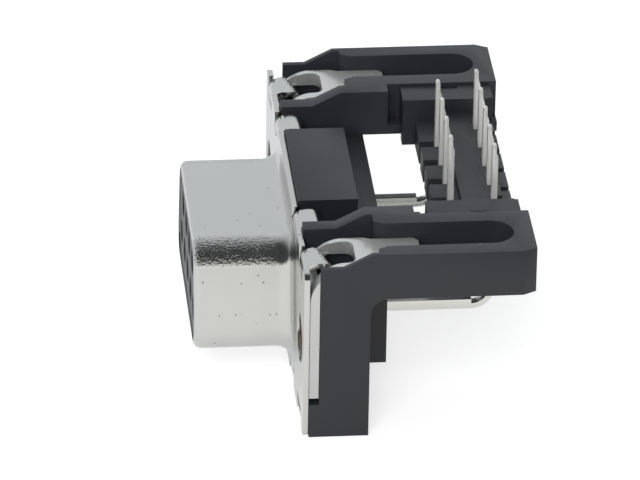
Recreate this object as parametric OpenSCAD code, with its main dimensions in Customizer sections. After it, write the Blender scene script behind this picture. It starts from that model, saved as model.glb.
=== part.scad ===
// Right-angle nine-way D-subminiature socket for a printed board.
// X runs along the flange, Y from the mating side to the back, Z up towards the board.
// The origin lies midway between the two flange screw holes, on the front of the flange.

/* [Shell] */
// Length of the flange
flange_w = 30.8; // [30.6:0.1:31.2]
// Height of the flange
flange_h = 12.5; // [12.3:0.1:13]
// Thickness of the drawn shell sheet
sheet = 0.4; // [0.3:0.05:0.45]
// Radius of the flange corners
flange_corner_r = 0.5; // [0.3:0.1:0.8]
// Distance from each screw axis to the near end of the flange
screw_edge = 2.9; // [2.85:0.05:3]
// Diameter of the flange screw holes
screw_hole_d = 3.5; // [3.3:0.1:3.6]
// Outside width of the D at its wide side
d_w = 16.6; // [16.3:0.05:16.7]
// Outside height of the D
d_h = 8.1; // [7.9:0.05:8.2]
// Lean of the short sides of the D in degrees
d_lean = 10; // [9:1:11]
// Outside corner radius of the D
d_corner_r = 1.9; // [1.8:0.1:2.2]
// How far the D stands out of the flange
d_reach = 6.8; // [6.4:0.1:7]
// Radius where the flange runs into the D
root_r = 1.1; // [0.8:0.1:1.1]
// Outside radius of the rim that is rolled inwards
lip_r = 0.5; // [0.46:0.02:0.56]

/* [Crimp tabs] */
// Width of each crimp tab
tab_w = 2.35; // [2.1:0.05:2.4]
// Distance of the inner tabs from the middle
inner_tab_x = 7.05; // [7:0.01:7.15]
// Distance of the outer tabs from the middle
outer_tab_x = 12.65; // [12.5:0.05:12.8]
// Outside radius of the bend at the root of a tab
tab_bend_r = 0.9; // [0.7:0.05:0.95]
// How far back the inner tabs reach
inner_tab_reach = 1.8; // [1.75:0.05:1.9]
// How far back the outer tabs reach
outer_tab_reach = 1.7; // [1.6:0.05:1.75]
// Width of the relief slit beside each tab
slit_w = 0.25; // [0.2:0.05:0.3]
// Depth of the relief slits below the edge of the flange
slit_depth = 1.1; // [1:0.05:1.15]

/* [Insulators] */
// Back of the front insulator's plate
front_plate_back = 0.95; // [0.9:0.05:1]
// Back of the rear insulator's plate
rear_plate_back = 1.5; // [1.45:0.05:1.6]
// Half length of the insulator plates
plate_half_w = 8.35; // [8.2:0.05:8.4]
// Half height of the insulator plates
plate_half_h = 5.65; // [5.55:0.05:5.7]
// Back of the rear insulator
insulator_back = 4.55; // [4.4:0.05:4.6]
// Half width of the upright block on the rear insulator
block_half_w = 5.3; // [5.2:0.1:5.6]
// Height of that block above the connector axis
block_top = 6.54; // [6.4:0.02:6.8]
// Diameter of the entry holes for the mating pins
entry_d = 1.2; // [1.1:0.05:1.3]

/* [Contacts] */
// Spacing of contacts within a row
contact_pitch = 2.77; // [2.75:0.01:2.79]
// Spacing of the two rows
row_gap = 2.84; // [2.8:0.01:2.88]
// Outside diameter of a contact barrel
barrel_d = 1.7; // [1.6:0.05:1.8]
// Bore of a contact barrel
barrel_bore_d = 1.04; // [1:0.01:1.1]
// Diameter of the solid neck behind the barrel
neck_d = 1.1; // [1:0.05:1.2]
// Width of the contact strip
strip_w = 0.72; // [0.66:0.02:0.74]
// Thickness of the bend and the tail
strip_t = 0.4; // [0.34:0.02:0.42]
// Height of the rolled strip between the insulator and the bend
strip_h = 0.72; // [0.6:0.02:0.76]
// Outside radius of the bend from strip to tail
strip_bend_r = 1.6; // [1.3:0.1:1.8]
// Distance of the front tail row behind the flange face
front_tail_y = 11; // [10.95:0.01:11.05]
// Length of tail above the board seat
tail_above = 3.05; // [2.7:0.05:3.4]

/* [Bracket] */
// Height of the board seat above the connector axis
board_z = 7.62; // [7.58:0.01:7.7]
// Thickness of the side arms
arm_t = 3.34; // [3.2:0.02:3.4]
// Back end of the side arms
arm_back = 15.7; // [15.6:0.1:16.2]
// Distance of the arms' inner faces from the middle
arm_in_x = 8.45; // [8.44:0.01:8.5]
// Back of the upright legs
leg_back = 4.5; // [4.4:0.05:4.65]
// Back of the crosspiece that holds the contact strips
cross_back = 6.25; // [6:0.05:6.4]
// Height of the crosspiece's top above the connector axis
cross_top = 4.15; // [3.9:0.05:4.2]
// Lower edge of the crosspiece
cross_bottom = -3.95; // [-4.2:0.05:-3.8]
// Height of the low part of the walls beside the strap
low_wall_z = 6.62; // [6.56:0.02:6.8]
// Width of the long slot in each arm
slot_w = 3.15; // [3.13:0.01:3.2]
// Back end of the long slot
slot_back = 14.38; // [14.2:0.02:14.5]
// Depth of the long slot behind the strap
slot_depth = 2.2; // [1.9:0.1:2.3]
// Height of the ledge that carries the comb's end block
ledge_z = 5; // [4.8:0.05:5.2]
// Radius under each arm where it meets the leg
web_r = 1.25; // [1:0.05:1.4]

/* [Tail comb] */
// Front of the comb teeth
comb_front = 9.8; // [9.7:0.05:9.9]
// Back of the comb teeth
comb_back = 15.25; // [15.1:0.05:15.4]
// Half length of the comb bar between its end blocks
comb_half_w = 7.45; // [7.3:0.05:7.6]
// Height of the comb bar's top above the connector axis
bar_top = 6.3; // [6.2:0.05:6.5]
// Thickness of the comb bar
comb_t = 2.4; // [2.2:0.05:2.5]
// Step from the bar down to the teeth
tooth_drop = 0.67; // [0.5:0.01:0.8]
// Height of the end blocks above the connector axis
end_block_top = 7.4; // [7.2:0.05:7.5]
// Width of a front tail slot
front_slot_w = 0.82; // [0.8:0.01:0.95]
// Width of a rear tail slot beside the tail
rear_slot_w = 1.2; // [1:0.05:1.3]
// Width of the narrow mouth of a rear slot
rear_mouth_w = 0.55; // [0.5:0.05:0.65]

/* [Ground straps] */
// Thickness of the strap sheet
strap_t = 0.65; // [0.6:0.01:0.68]
// Outside radius of the strap's bend
strap_bend_r = 2.5; // [2.3:0.05:2.55]
// Height of the strap's upper face above the connector axis
strap_top = 6.5; // [6.44:0.02:6.52]
// Width of the strap's narrow tongue
tongue_w = 3.09; // [3.05:0.01:3.1]
// Back end of the tongue
tongue_back = 8.05; // [7.9:0.05:8.3]
// Lower end of the strap
strap_foot = -3.3; // [-3.5:0.05:-3.1]
// Width of the window in the strap that the outer crimp tab hooks into
window_w = 3; // [2.9:0.05:3.05]
// Back edge of that window
window_back = 3.59; // [3.5:0.01:3.65]
// Radius of the window's corners
window_r = 0.6; // [0.4:0.05:0.7]
// Depth of the collar drawn down round the window
collar_depth = 0.95; // [0.85:0.05:1.1]
// Wall of that collar
collar_wall = 0.25; // [0.2:0.01:0.28]

/* [Threaded inserts] */
// Outside diameter of an insert
insert_d = 4.6; // [4.4:0.1:4.9]
// Diameter of the neck clinched into the strap
insert_neck_d = 3.3; // [3.1:0.1:3.4]
// Bore of an insert, across the thread crests
insert_bore_d = 2.5; // [2.4:0.05:2.7]

/* [Fits] */
// Clearance between pieces that seat on each other
seat_gap = 0.03; // [0.02:0.01:0.04]
// Clearance round a contact in its insulator
contact_gap = 0.05; // [0.04:0.01:0.06]

/* [Hidden] */

$fn = 48;
// Overlap that lets joined shapes share volume
lap = 0.02;
// Overshoot of a cutting shape
over = 1;

screw_x = flange_w / 2 - screw_edge;
foot_z = -flange_h / 2;
arm_out_x = flange_w / 2;
arm_bottom = board_z - arm_t;
behind_flange = sheet + seat_gap;

// Rows of contacts, the row with five below and the row with four above the axis.
row_z = row_gap / 2;
rear_tail_y = front_tail_y + row_gap;
tail_tip_z = board_z + tail_above;

strap_back = behind_flange + strap_t;
leg_front = strap_back + seat_gap;
strap_under = strap_top - strap_t;
strap_floor = strap_under - seat_gap;
bend_y = behind_flange + strap_bend_r;
bend_z = strap_top - strap_bend_r;

// ---------- drawing helpers ----------

// Extrudes an outline drawn in X and Z from y0 to y1.
module along_y(y0, y1) {
    translate([0, y1, 0]) rotate([90, 0, 0]) linear_extrude(y1 - y0) children();
}

// Extrudes an outline drawn in Y and Z from x0 to x1.
module along_x(x0, x1) {
    translate([x0, 0, 0]) rotate([90, 0, 90]) linear_extrude(x1 - x0) children();
}

// A box between two opposite corners.
module block(low, high) {
    translate(low) cube(high - low);
}

// A rod along Y from y0 to y1.
module rod(d, y0, y1) {
    translate([0, y0, 0]) rotate([-90, 0, 0]) cylinder(d = d, h = y1 - y0);
}

// A rectangle with round corners, centred.
module rounded_rect(w, h, r) {
    square([w - 2 * r, h], center = true);
    square([w, h - 2 * r], center = true);
    for (sx = [-1, 1], sy = [-1, 1]) {
        translate([sx * (w / 2 - r), sy * (h / 2 - r)]) circle(r);
    }
}

// Bent sheet round an X axis, from angle a0 to a1, counted from +Y towards +Z.
module bent_sheet(r_out, t, w, a0, a1) {
    rotate([90, 0, 90]) rotate([0, 0, a0]) rotate_extrude(angle = a1 - a0) {
        translate([r_out - t, -w / 2]) square([t, w]);
    }
}

// The children and their mirror image across the middle of the connector.
module both_sides() {
    children();
    mirror([1, 0, 0]) children();
}

// ---------- the D outline ----------

// Half widths of the D where its sides meet the bottom and the top edge.
d_half_bottom = d_w / 2;
d_half_top = d_half_bottom - d_h * tan(d_lean);

// Distance of a corner arc's centre from the sharp corner, along the edge.
d_bottom_inset = d_corner_r / tan((90 - d_lean) / 2);
d_top_inset = d_corner_r / tan((90 + d_lean) / 2);
d_centres = [
    [d_half_bottom - d_bottom_inset, d_corner_r - d_h / 2],
    [d_half_top - d_top_inset, d_h / 2 - d_corner_r],
    [d_top_inset - d_half_top, d_h / 2 - d_corner_r],
    [d_bottom_inset - d_half_bottom, d_corner_r - d_h / 2]
];
// Angles at which each corner arc starts and ends.
d_arcs = [[-90, d_lean], [d_lean, 90], [90, 180 - d_lean], [180 - d_lean, 270]];

// Layers that the root and the rim of the drawn wall are built from.
root_layers = 5;
lip_layers = 3;

// Height of a quarter circle of radius r at a distance along its base.
function quarter_rise(r, along) = sqrt(r * r - (r - along) * (r - along));

// The D outline moved inwards by a distance; a negative distance moves it outwards.
module d_shape(inset) {
    r = d_corner_r - inset;
    polygon([for (c = [0:3], a = d_arcs[c]) d_centres[c] + r * [cos(a), sin(a)]]);
    for (c = d_centres) translate(c) circle(r);
}

// ---------- front shell ----------

// The drawn wall: a D-shaped tube that widens at its root and narrows at its rim.
// Both curves are cut into thin layers, each with the straight walls of the D.
module d_wall() {
    root_step = root_r / root_layers;
    lip_step = lip_r / lip_layers;
    difference() {
        union() {
            along_y(lip_r - d_reach, sheet) d_shape(0);
            for (k = [0:lip_layers - 1]) {
                in = lip_r - quarter_rise(lip_r, (k + 0.6) * lip_step);
                along_y(k * lip_step - d_reach, lip_r - d_reach + lap) d_shape(in);
            }
            for (k = [0:root_layers - 1]) {
                out = root_r - quarter_rise(root_r, (k + 0.4) * root_step);
                along_y(-root_r + (root_layers - 1 - k) * root_step, 0) d_shape(-out);
            }
        }
        along_y(lip_r - d_reach, sheet + over) d_shape(sheet);
        along_y(-d_reach - over, sheet + over) d_shape(lip_r);
    }
}

// A relief slit at the top edge of the flange, centred on the given distance.
module relief_slit(x) {
    translate([x, 0, 0]) block(
        [-slit_w / 2, -over, flange_h / 2 - slit_depth],
        [slit_w / 2, sheet + over, flange_h / 2 + over]
    );
}

// Flat flange with the D opening, the screw holes and the openings that free the tabs.
module flange_plate() {
    difference() {
        along_y(0, sheet) rounded_rect(flange_w, flange_h, flange_corner_r);
        along_y(-over, sheet + over) d_shape(sheet);
        for (sx = [-1, 1]) translate([sx * screw_x, 0, 0]) rod(screw_hole_d, -over, sheet + over);
        for (sz = [0, 1]) mirror([0, 0, sz]) both_sides() {
            for (x = [inner_tab_x, outer_tab_x]) {
                block(
                    [x - tab_w / 2, -over, flange_h / 2 - tab_bend_r],
                    [x + tab_w / 2, sheet + over, flange_h / 2 + over]
                );
                for (s = [-1, 1]) relief_slit(x + s * (tab_w + slit_w) / 2);
            }
        }
    }
}

// One tab at the top edge: the bend, the flat and an end curled down by an angle.
// The end is cut to a slanted line; skew is how much further the side towards +X reaches.
module crimp_tab(reach, skew, curl_r, curl) {
    flat_z = flange_h / 2;
    side = tab_w / 2;
    difference() {
        union() {
            translate([0, tab_bend_r, flat_z - tab_bend_r]) {
                bent_sheet(tab_bend_r, sheet, tab_w, 90, 180);
            }
            block([-side, tab_bend_r, flat_z - sheet], [side, reach - curl_r, flat_z]);
            translate([0, reach - curl_r, flat_z - curl_r]) {
                bent_sheet(curl_r, sheet, tab_w, 90 - curl, 90);
            }
        }
        if (skew > 0) translate([side, reach, flat_z - over]) rotate([0, 0, atan(skew / tab_w)]) {
            translate([-2 * tab_w, 0, 0]) cube([3 * tab_w, over, 2 * over]);
        }
    }
}

// Radii of the curled tab ends, and the slant of the outer ones.
inner_curl_r = 0.55;
outer_curl_r = 0.5;
tab_skew = 0.35;

module front_shell() {
    color("silver") union() {
        flange_plate();
        d_wall();
        for (sz = [0, 1], sx = [-1, 1]) mirror([0, 0, sz]) {
            translate([sx * inner_tab_x, 0, 0]) crimp_tab(inner_tab_reach, 0, inner_curl_r, 85);
            translate([sx * outer_tab_x, 0, 0]) crimp_tab(outer_tab_reach, tab_skew, outer_curl_r, 80);
        }
    }
}

// ---------- insulators ----------

// Positions of all contacts: [x, z, y of the tail].
contact_places = [
    for (i = [-2:2]) [i * contact_pitch, -row_z, rear_tail_y],
    for (i = [-1.5:1.5]) [i * contact_pitch, row_z, front_tail_y]
];

// Front end and back end of a contact barrel.
barrel_front = 1.1 - d_reach;
barrel_back = front_plate_back - 0.45;
insulator_front = 0.1 - d_reach;
entry_depth = barrel_front - contact_gap;

// Chambers for the barrels, cut from the back, with the entry holes at the front.
module front_chambers() {
    for (p = contact_places) translate([p[0], 0, p[1]]) {
        rod(entry_d, insulator_front - over, barrel_front);
        rod(barrel_d + 2 * contact_gap, entry_depth, barrel_back + contact_gap);
        rod(neck_d + 2 * contact_gap, barrel_back, front_plate_back + over);
        // Lead-in cone at the mouth
        translate([0, insulator_front - lap, 0]) rotate([-90, 0, 0]) {
            cylinder(d1 = entry_d + 0.7, d2 = entry_d, h = 0.45);
        }
    }
}

module front_insulator() {
    color("dimgray") difference() {
        union() {
            along_y(lip_r - d_reach, front_plate_back - lap) {
                d_shape(sheet + seat_gap);
            }
            along_y(insulator_front, lip_r - d_reach + lap) {
                d_shape(lip_r + 2 * seat_gap);
            }
            along_y(behind_flange, front_plate_back) {
                square([2 * plate_half_w, flange_h - 2 * tab_bend_r], center = true);
            }
        }
        front_chambers();
    }
}

// Step from an insulator plate in to the body behind it.
body_step = 0.25;

module rear_insulator() {
    rear_front = front_plate_back + seat_gap;
    body_half_w = plate_half_w - body_step;
    body_half_h = plate_half_h - 2 * body_step;
    color("dimgray") difference() {
        union() {
            along_y(rear_front, rear_plate_back) {
                square([2 * plate_half_w, 2 * plate_half_h], center = true);
            }
            along_y(rear_plate_back - lap, insulator_back) {
                square([2 * body_half_w, 2 * body_half_h], center = true);
            }
            block([-block_half_w, rear_front, 0], [block_half_w, insulator_back, block_top]);
            block(
                [-block_half_w, behind_flange, plate_half_h + seat_gap],
                [block_half_w, insulator_back, block_top]
            );
        }
        for (p = contact_places) translate([p[0], 0, p[1]]) {
            rod(neck_d + 2 * contact_gap, rear_front - over, insulator_back + over);
            strip_hole(neck_back - strip_root - contact_gap, insulator_back + over);
        }
    }
}

// ---------- contacts ----------

neck_back = insulator_back - 0.2;
// How far the strip reaches into the neck
strip_root = 0.4;
strip_under = strip_t / 2 - strip_h;
// How deep the barrel is bored, and how far its slits run
bore_depth = 4.6;
slit_run = 3.4;
slit_half = 0.09;

// Hole for a contact strip, from y0 to y1.
module strip_hole(y0, y1) {
    half = strip_w / 2 + contact_gap;
    block([-half, y0, strip_under - contact_gap], [half, y1, strip_t / 2 + contact_gap]);
}

// One contact: barrel, neck, flat strip, bend and board tail.
module contact(place) {
    tail_y = place[2];
    half_w = strip_w / 2;
    half_t = strip_t / 2;
    tip = tail_tip_z;
    turn_z = place[1] + strip_under + strip_bend_r;
    turn_y = tail_y + half_t - strip_bend_r;
    translate([place[0], 0, 0]) {
        translate([0, 0, place[1]]) {
            difference() {
                union() {
                    rod(barrel_d, barrel_front, barrel_back);
                    rod(neck_d, barrel_back - lap, neck_back);
                }
                rod(barrel_bore_d, barrel_front - over, barrel_front + bore_depth);
                // Slits that let the barrel spring
                for (a = [0, 90]) rotate([0, a, 0]) {
                    block([-slit_half, barrel_front - over, -over], [slit_half, barrel_front + slit_run, over]);
                }
            }
            block([-half_w, neck_back - strip_root, strip_under], [half_w, turn_y + lap, half_t]);
        }
        translate([0, turn_y, turn_z]) bent_sheet(strip_bend_r, strip_t, strip_w, -90, 0);
        intersection() {
            along_x(-half_w, half_w) polygon([
                [tail_y - half_t, turn_z - lap], [tail_y + half_t, turn_z - lap],
                [tail_y + half_t, tip - 1.05], [tail_y + 0.08, tip - 0.85],
                [tail_y + 0.08, tip - 0.12], [tail_y - 0.02, tip], [tail_y - 0.1, tip],
                [tail_y - half_t, tip - 0.12]
            ]);
            along_y(tail_y - over, tail_y + over) polygon([
                [-half_w, turn_z - over], [half_w, turn_z - over],
                [half_w, bar_top + 0.2], [half_w - 0.08, bar_top + 0.4],
                [half_w - 0.08, tip - 0.3], [0.1, tip], [-0.1, tip],
                [0.08 - half_w, tip - 0.3], [0.08 - half_w, bar_top + 0.4],
                [-half_w, bar_top + 0.2]
            ]);
        }
    }
}

module contact_number(n) {
    color("gold") contact(contact_places[n - 1]);
}

// ---------- ground straps ----------

// Outside edges of the strap: the upright part is wider than the part laid in the arm.
strap_in_x = screw_x - 1.75;
strap_out_x = arm_out_x - 0.1;
strap_lay_x = arm_out_x - 0.48;
outer_wall_in = strap_lay_x + seat_gap;
wide_back = 4.4;
neck_start = 4.85;
wall_start = 5.05;
slope_back = 4.6;
// Distance from the screw axis to the middle of the window in the strap.
window_shift = 0.2;
tongue_corner = 0.35;

// Side view of the strap: upright part, bend and the flat upper part.
module strap_profile(thick) {
    r = strap_bend_r;
    difference() {
        union() {
            translate([bend_y - r, strap_foot]) square([r, bend_z - strap_foot]);
            translate([bend_y, bend_z]) intersection() {
                circle(r, $fn = 96);
                translate([-r, 0]) square(r);
            }
            translate([bend_y - lap, bend_z]) square([tongue_back - bend_y + lap, r]);
        }
        translate([bend_y - r + thick, strap_foot - over]) square([2 * r, bend_z - strap_foot + over + lap]);
        translate([bend_y, bend_z]) circle(r - thick, $fn = 96);
        translate([bend_y, bend_z - over]) square([tongue_back, r - thick + over]);
    }
}

// The window and what lies within a margin round it, seen from above.
module window_outline(margin) {
    r = window_r + margin;
    half = window_w / 2 + margin;
    translate([screw_x + window_shift, 0]) {
        translate([-half, 0]) square([2 * half, window_back + margin - r]);
        translate([r - half, 0]) square([2 * (half - r), window_back + margin]);
        for (s = [-1, 1]) translate([s * (half - r), window_back + margin - r]) circle(r);
    }
}

// Reach of the outer crimp tab along X from the screw axis, with its clearance.
tab_room = 0.12;
tab_reach_x = abs(outer_tab_x - screw_x) + tab_w / 2 + tab_room;
tongue_in_x = screw_x - tongue_w / 2;
tongue_out_x = screw_x + tongue_w / 2;

// Both straps are the same part: the edge of the strap towards +X is the wider one.
module ground_strap() {
    color("gainsboro") difference() {
        union() {
            intersection() {
                along_x(strap_in_x, strap_out_x) strap_profile(strap_t);
                union() {
                    // Plan of the part laid in the arm
                    linear_extrude(strap_top + over) polygon([
                        [strap_in_x, strap_back - lap], [strap_lay_x, strap_back - lap],
                        [strap_lay_x, wide_back], [tongue_out_x, neck_start],
                        [tongue_out_x, tongue_back - tongue_corner],
                        [tongue_out_x - tongue_corner, tongue_back],
                        [tongue_in_x + tongue_corner, tongue_back],
                        [tongue_in_x, tongue_back - tongue_corner],
                        [tongue_in_x, neck_start],
                        [strap_in_x, wide_back]
                    ]);
                    block([strap_in_x, 0, strap_foot - over], [strap_out_x, strap_back, strap_top]);
                }
            }
            // Collar drawn down round the window
            intersection() {
                translate([0, 0, strap_top - collar_depth]) linear_extrude(collar_depth - lap) {
                    window_outline(collar_wall);
                }
                along_x(strap_in_x, strap_out_x) {
                    translate([bend_y, bend_z]) circle(strap_bend_r, $fn = 96);
                    translate([bend_y, bend_z]) square(strap_bend_r);
                }
            }
        }
        translate([0, 0, strap_top - collar_depth - over]) linear_extrude(collar_depth + 2 * over) {
            window_outline(0);
        }
        // Relief under the folded end of the outer crimp tab, on either end of the connector
        block(
            [screw_x - tab_reach_x, 0, flange_h / 2 - outer_curl_r - tab_room],
            [screw_x + tab_reach_x, outer_tab_reach + tab_skew / 2 + tab_room, strap_top + over]
        );
        translate([screw_x, 0, 0]) rod(insert_neck_d + 2 * seat_gap, 0, strap_back + over);
    }
}

module threaded_insert() {
    color("goldenrod") translate([screw_x, 0, 0]) difference() {
        union() {
            rod(insert_neck_d, behind_flange, leg_front + lap);
            rod(insert_d, leg_front, leg_back - 0.1);
        }
        rod(insert_bore_d, 0, leg_back + over);
        translate([0, behind_flange - lap, 0]) rotate([-90, 0, 0]) {
            cylinder(d1 = insert_bore_d + 0.5, d2 = insert_bore_d, h = 0.3);
        }
    }
}

// ---------- bracket ----------

recess_x = screw_x - 2.9;
recess_front = 7.95;
pocket_floor = 3.2;
end_block_front = 8.9;
latch_front = 11.8;
latch_back = 12.9;
latch_depth = 0.5;
slope_front = 2.65;
// Shoulders and bevels where the strap bed narrows to the long slot.
shoulder = 0.4;
bevel_back = 5.7;

// Side view of one arm with its sloped front and the rounded web under it.
module arm_profile(front) {
    difference() {
        union() {
            polygon([
                [front, arm_bottom - lap], [arm_back, arm_bottom], [arm_back, board_z],
                [slope_back, board_z], [slope_front, low_wall_z], [front, low_wall_z]
            ]);
            translate([leg_back - lap, arm_bottom - web_r]) square([web_r + lap, web_r + lap]);
        }
        translate([leg_back + web_r, arm_bottom - web_r]) circle(web_r);
    }
}

// What is cut out of one arm: strap bed, long slot, comb recess and rear corner.
module arm_cuts() {
    half = slot_w / 2;
    // Bed of the wide part of the strap, following its bend
    along_x(recess_x, outer_wall_in) difference() {
        translate([0, bend_z]) square([wall_start, board_z]);
        translate([bend_y, bend_z - over]) square([wall_start, strap_floor - bend_z + over]);
        translate([bend_y, bend_z]) circle(strap_floor - bend_z, $fn = 96);
    }
    // Bed of the tongue, with bevelled mouth, and the deeper slot behind it, with a round end
    translate([0, 0, strap_floor]) linear_extrude(3 * over) polygon([
        [screw_x - half - shoulder, bend_y], [screw_x + half + shoulder, bend_y],
        [screw_x + half + shoulder, wall_start], [screw_x + half, bevel_back],
        [screw_x + half, tongue_back + 0.1], [screw_x - half, tongue_back + 0.1],
        [screw_x - half, bevel_back], [screw_x - half - shoulder, wall_start]
    ]);
    translate([0, 0, board_z - slot_depth]) linear_extrude(slot_depth + over) {
        translate([screw_x - half, tongue_back + 0.05]) square([slot_w, slot_back - half - tongue_back]);
        translate([screw_x, slot_back - half]) circle(half);
    }
    // Recess for the comb's end block
    block([0, recess_front, ledge_z], [recess_x, arm_back + over, board_z + over]);
    // Rear outer corner
    translate([0, 0, arm_bottom - over]) linear_extrude(arm_t + 2 * over) polygon([
        [arm_out_x - 0.5, arm_back + lap], [arm_out_x + lap, arm_back - 0.93],
        [arm_out_x + over, arm_back + over]
    ]);
    // Pocket under the window of the strap, wide enough for either end of the connector
    translate([screw_x, 0, pocket_floor]) linear_extrude(board_z) for (s = [0, 1]) mirror([s, 0]) {
        translate([-screw_x, 0]) window_outline(collar_wall + seat_gap);
    }
    // Pocket for the outer crimp tab at the foot
    block(
        [outer_tab_x - tab_w / 2 - tab_room, 0, foot_z - over],
        [outer_tab_x + tab_w / 2 + tab_room, outer_tab_reach + tab_skew / 2 + tab_room, foot_z + tab_bend_r]
    );
}

module bracket_side() {
    difference() {
        union() {
            along_x(outer_wall_in, arm_out_x) arm_profile(leg_front);
            along_x(arm_in_x, recess_x) arm_profile(behind_flange);
            along_x(recess_x - lap, outer_wall_in + lap) arm_profile(leg_front);
            // Leg with its foot under the strap
            block([recess_x - lap, leg_front, foot_z], [arm_out_x, leg_back, arm_bottom]);
            block([arm_in_x, rear_plate_back + seat_gap, foot_z], [recess_x, leg_back, arm_bottom]);
            block([recess_x - lap, behind_flange, foot_z], [arm_out_x, leg_front + lap, strap_foot - 0.45]);
            block([plate_half_w + 0.1, behind_flange, cross_bottom], [recess_x, leg_back, arm_bottom]);
        }
        arm_cuts();
        translate([screw_x, 0, 0]) rod(insert_d + 2 * seat_gap, 0, leg_back + over);
    }
    // Latch nib that holds the comb
    block(
        [recess_x - latch_depth + 0.1, latch_front + 0.1, ledge_z - lap],
        [recess_x + lap, latch_back - 0.1, end_block_top - 0.9]
    );
}

module bracket() {
    color("darkslategray") difference() {
        union() {
            both_sides() bracket_side();
            block(
                [-arm_in_x - lap, insulator_back + seat_gap, cross_bottom],
                [arm_in_x + lap, cross_back, cross_top]
            );
            both_sides() block(
                [arm_in_x, leg_back - lap, cross_bottom],
                [recess_x - 0.1, cross_back, arm_bottom + lap]
            );
        }
        for (p = contact_places) translate([p[0], 0, p[1]]) strip_hole(0, cross_back + over);
    }
}

// ---------- tail comb ----------

bar_front = 11.65;
bar_back = 14.5;
block_step = 0.12;

module tail_comb() {
    tooth_top = bar_top - tooth_drop;
    comb_bottom = bar_top - comb_t;
    block_out = recess_x - seat_gap;
    block_in = arm_in_x - seat_gap;
    color("dimgray") difference() {
        union() {
            block([-comb_half_w - lap, bar_front, comb_bottom], [comb_half_w + lap, bar_back, bar_top]);
            block([-comb_half_w - lap, comb_front, comb_bottom], [comb_half_w + lap, comb_back, tooth_top]);
            both_sides() {
                block(
                    [comb_half_w, end_block_front, comb_bottom],
                    [block_in, comb_back - 2 * block_step, end_block_top]
                );
                block(
                    [comb_half_w + block_step, end_block_front, comb_bottom],
                    [block_in, comb_back, end_block_top]
                );
                block(
                    [block_in - lap, end_block_front, ledge_z + seat_gap],
                    [block_out, comb_back, end_block_top]
                );
            }
        }
        for (p = contact_places) translate([p[0], 0, 0]) {
            if (p[1] > 0) {
                block(
                    [-front_slot_w / 2, comb_front - over, comb_bottom - over],
                    [front_slot_w / 2, front_tail_y + strip_t / 2 + contact_gap, bar_top + over]
                );
            } else {
                block(
                    [-rear_slot_w / 2, rear_tail_y - strip_t / 2 - contact_gap, comb_bottom - over],
                    [rear_slot_w / 2, bar_back, bar_top + over]
                );
                block(
                    [-rear_mouth_w / 2, bar_back - lap, comb_bottom - over],
                    [rear_mouth_w / 2, comb_back + over, bar_top + over]
                );
            }
        }
        both_sides() block(
            [recess_x - latch_depth, latch_front, comb_bottom - over],
            [recess_x + over, latch_back, end_block_top + over]
        );
    }
}

// ---------- assembly ----------

front_shell();
front_insulator();
rear_insulator();
bracket();
tail_comb();
translate([-2 * screw_x, 0, 0]) ground_strap();  // ground_strap_left
ground_strap();  // ground_strap_right
mirror([1, 0, 0]) threaded_insert();  // threaded_insert_left
threaded_insert();  // threaded_insert_right
contact_number(1);  // contact_1
contact_number(2);  // contact_2
contact_number(3);  // contact_3
contact_number(4);  // contact_4
contact_number(5);  // contact_5
contact_number(6);  // contact_6
contact_number(7);  // contact_7
contact_number(8);  // contact_8
contact_number(9);  // contact_9
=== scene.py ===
"""Right-angle nine-way D-subminiature socket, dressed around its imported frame.

Lengths in the classes are millimetres and angles are degrees. A name that ends in scale or
cells counts cells in a metre, and SAME_POINT and weld_m are metres, as every mesh is.
"""

import logging
import math
import random
from dataclasses import dataclass, field
from enum import Enum
from typing import Optional, Sequence

import bmesh
import bpy
from mathutils import Matrix, Vector


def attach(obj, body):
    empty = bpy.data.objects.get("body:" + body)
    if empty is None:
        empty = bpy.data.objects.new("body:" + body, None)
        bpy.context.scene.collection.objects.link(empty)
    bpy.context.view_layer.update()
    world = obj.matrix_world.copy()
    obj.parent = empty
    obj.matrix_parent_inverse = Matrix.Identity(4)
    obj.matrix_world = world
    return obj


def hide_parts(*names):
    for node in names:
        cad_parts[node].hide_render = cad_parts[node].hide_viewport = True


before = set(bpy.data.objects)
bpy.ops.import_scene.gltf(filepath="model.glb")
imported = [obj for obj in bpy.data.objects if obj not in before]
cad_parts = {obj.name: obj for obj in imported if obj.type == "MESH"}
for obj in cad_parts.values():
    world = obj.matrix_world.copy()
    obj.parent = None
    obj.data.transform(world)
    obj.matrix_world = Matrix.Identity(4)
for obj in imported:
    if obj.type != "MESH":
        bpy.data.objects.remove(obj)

LOG = logging.getLogger("d_sub_socket")
MM = 0.001
BODY = "root"
SAME_POINT = 1e-7

Point2 = tuple[float, float]
Point3 = tuple[float, float, float]
Colour = tuple[float, float, float]
Colour4 = tuple[float, float, float, float]


class Side(Enum):
    """The two ends of the connector, by the sign of their X."""

    LEFT = -1
    RIGHT = 1


class Edge(Enum):
    """The long edges of the flange, by the sign of their Z."""

    LOWER = -1
    UPPER = 1


# ---------------------------------------------------------------- node helpers


class NodeSheet:
    """A small helper that adds and links the nodes of one node tree."""

    def __init__(self, tree: bpy.types.NodeTree) -> None:
        """Keeps the tree to fill and clears it."""
        self.tree = tree
        tree.nodes.clear()

    def add(self, kind: str, **values: object) -> bpy.types.Node:
        """Adds a node and sets its properties or its named inputs.

        Args:
            kind: the node's type name.
            values: property names or input names (spaces written as underscores).

        Returns:
            The new node.
        """
        node = self.tree.nodes.new(kind)
        for name, value in values.items():
            if hasattr(node, name):
                setattr(node, name, value)
            else:
                node.inputs[name.replace("_", " ")].default_value = value
        return node

    def link(self, source: bpy.types.NodeSocket, target: bpy.types.NodeSocket) -> None:
        """Links an output socket to an input socket."""
        self.tree.links.new(source, target)


def linear(value: float) -> float:
    """Turns a display value from 0 to 1 into scene-linear light by the sRGB curve."""
    return value / 12.92 if value <= 0.04045 else ((value + 0.055) / 1.055) ** 2.4


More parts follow.
